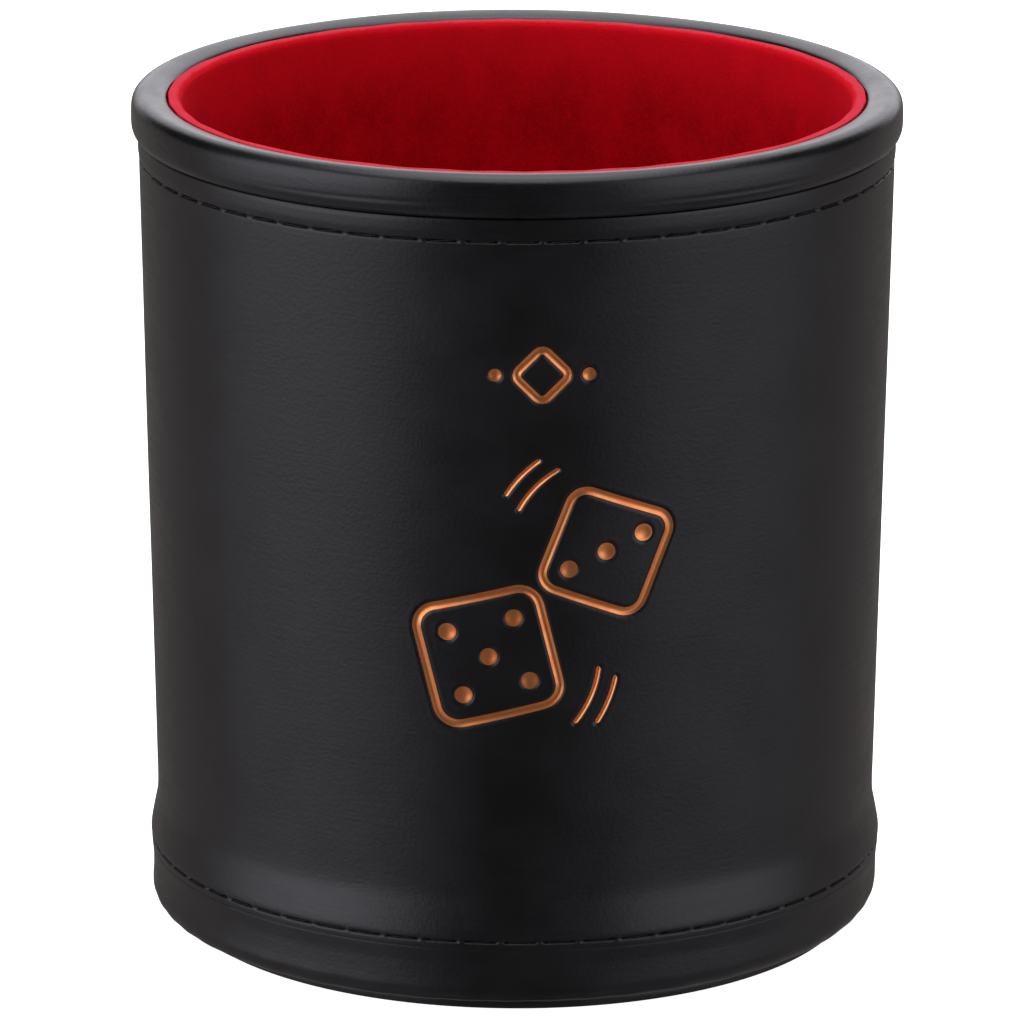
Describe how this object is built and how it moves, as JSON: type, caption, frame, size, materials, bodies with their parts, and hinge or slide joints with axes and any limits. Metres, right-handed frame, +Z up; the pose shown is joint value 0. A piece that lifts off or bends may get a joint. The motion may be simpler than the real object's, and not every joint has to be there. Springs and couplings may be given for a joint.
{
  "type": "leather dice cup",
  "caption": "Straight, slightly tapered dice shaker cup: leather-wrapped board tube with a rolled stitched rim, red velvet lining and a foil-stamped front.",
  "frame": {"origin": "middle of the underside, where the cup stands on a table", "axes": "+Z up along the cup's axis to the mouth; the foil emblem faces -Y and the wrap's seam faces +Y"},
  "size_m": [0.09, 0.09, 0.0994],
  "materials": {
    "black_leather": "satin, fine even grain",
    "velvet": "cut pile, soft sheen",
    "board": "matte grey board",
    "foam": "matte closed-cell foam",
    "thread": "waxed, low sheen",
    "copper_foil": "stamped copper-coloured foil"
  },
  "bodies": {
    "root": {"core_tube": "board", "core_floor": "board", "rim_filler": "foam", "rim_binding": "black_leather", "wall_leather": "black_leather", "rim_stitches": "thread", "base_cap": "black_leather", "base_stitches": "thread", "base_filler": "board", "base_disc": "black_leather", "back_seam_stitches": "thread", "foil_emblem": "copper_foil", "lining_sleeve": "board", "wall_lining": "velvet", "floor_pad": "foam", "floor_lining": "velvet"}
  },
  "joints": []
}
